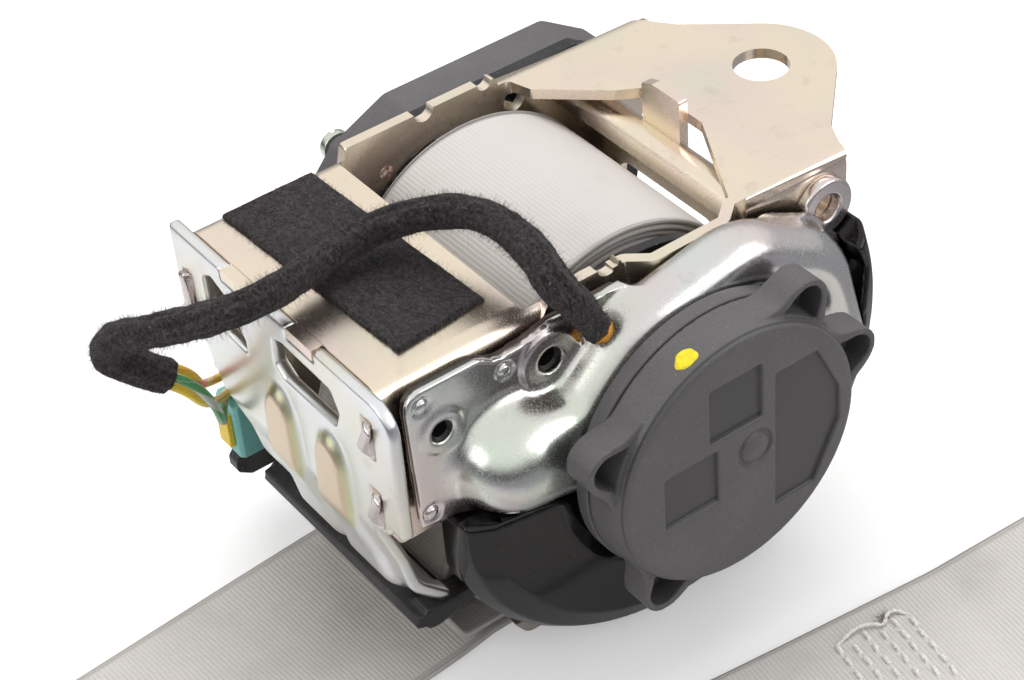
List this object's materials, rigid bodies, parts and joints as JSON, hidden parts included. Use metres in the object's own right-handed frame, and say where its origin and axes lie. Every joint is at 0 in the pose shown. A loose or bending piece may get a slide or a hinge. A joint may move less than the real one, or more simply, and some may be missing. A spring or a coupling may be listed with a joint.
{
  "type": "seat belt retractor",
  "caption": "Car seat belt retractor: steel frame with anchor tab, belt roll, ball pretensioner, spring cassette and folded webbing.",
  "frame": {"origin": "centre of the anchor hole on the top face of the back plate", "axes": "+Z out of the back plate along the anchor hole, +Y from the belt strip towards the tab, X along the spool"},
  "size_m": [0.1675, 0.2609, 0.0924],
  "materials": {
    "yellow_zinc": "yellow chromated zinc plate with an iridescent tint",
    "bright_zinc": "bright zinc plate",
    "ball_steel": "ground steel",
    "spring_steel": "dark spring steel",
    "spool_aluminium": "die cast",
    "gloss_black": "smooth black",
    "black_plastic": "satin black",
    "grey_plastic": "fine spark-eroded grain",
    "white_plastic": "natural",
    "teal_plastic": "satin",
    "yellow_plastic": "satin",
    "yellow_wire": "satin",
    "orange_wire": "satin",
    "green_wire": "satin",
    "felt": "needled felt",
    "webbing": "woven polyester belt"
  },
  "bodies": {
    "retractor_body": {"frame_bracket": "yellow_zinc", "end_strip": "yellow_zinc", "near_flange": "yellow_zinc", "far_flange": "yellow_zinc", "end_plate": "yellow_zinc", "guide_bar": "yellow_zinc", "cross_plate": "yellow_zinc", "web_guide": "black_plastic", "felt_pad": "felt", "lock_ring": "bright_zinc", "bearing_plate": "black_plastic", "pretensioner_back_plate": "bright_zinc", "pretensioner_housing": "bright_zinc", "housing_rivets": "bright_zinc", "lug_collar": "yellow_zinc", "ball_catcher": "gloss_black", "gas_generator": "bright_zinc", "tube_balls": "ball_steel", "spring_base": "grey_plastic", "spring_cap": "grey_plastic", "rewind_spring": "spring_steel", "mechanism_base": "black_plastic", "mechanism_cover": "grey_plastic", "sensor_housing": "black_plastic", "cover_screws": "bright_zinc", "connector_body": "teal_plastic", "connector_lock": "yellow_plastic", "harness_cable": "felt", "wire_yellow": "yellow_wire", "wire_orange": "orange_wire", "wire_green": "green_wire", "squib_plug": "black_plastic", "webbing_run": "webbing", "webbing_fold": "webbing", "webbing_floor": "webbing", "webbing_cross": "webbing", "webbing_strip": "webbing", "webbing_end": "webbing"},
    "spool_body": {"spool": "spool_aluminium", "webbing_roll": "webbing", "torsion_bar": "spring_steel", "tread_head": "spool_aluminium", "spring_arbor": "white_plastic"},
    "pawl_body": {"locking_pawl": "spring_steel"},
    "disc_body": {"control_disc": "white_plastic"},
    "lever_body": {"sensor_lever": "white_plastic"},
    "ball_body": {"sensor_ball": "ball_steel"},
    "wheel_body": {"drive_sprocket": "spool_aluminium", "drive_balls": "ball_steel"}
  },
  "joints": [
    {"name": "spool_spin", "type": "hinge", "parent": "retractor_body", "child": "spool_body", "pos_m": [0, -0.0535, -0.029], "axis": [1, 0, 0], "continuous": true},
    {"name": "disc_turn", "type": "hinge", "parent": "spool_body", "child": "disc_body", "pos_m": [0, -0.0535, -0.029], "axis": [1, 0, 0], "range_deg": [0, 8]},
    {"name": "pawl_swing", "type": "hinge", "parent": "spool_body", "child": "pawl_body", "pos_m": [0, -0.0655, -0.026], "axis": [1, 0, 0], "range_deg": [0, 14]},
    {"name": "ball_roll", "type": "slide", "parent": "retractor_body", "child": "ball_body", "axis": [0, 0.9397, 0.342], "range_m": [0, 0.0012]},
    {"name": "lever_lift", "type": "hinge", "parent": "retractor_body", "child": "lever_body", "pos_m": [0, -0.065, -0.05995], "axis": [1, 0, 0], "range_deg": [0, 8]},
    {"name": "wheel_drive", "type": "hinge", "parent": "retractor_body", "child": "wheel_body", "pos_m": [0, -0.0535, -0.029], "axis": [1, 0, 0], "range_deg": [0, 50]}
  ],
  "couplings": [
    {"joint": "pawl_swing", "follows": "disc_turn", "ratio": 1.75},
    {"joint": "lever_lift", "follows": "ball_roll", "rad_per_m": 116}
  ]
}
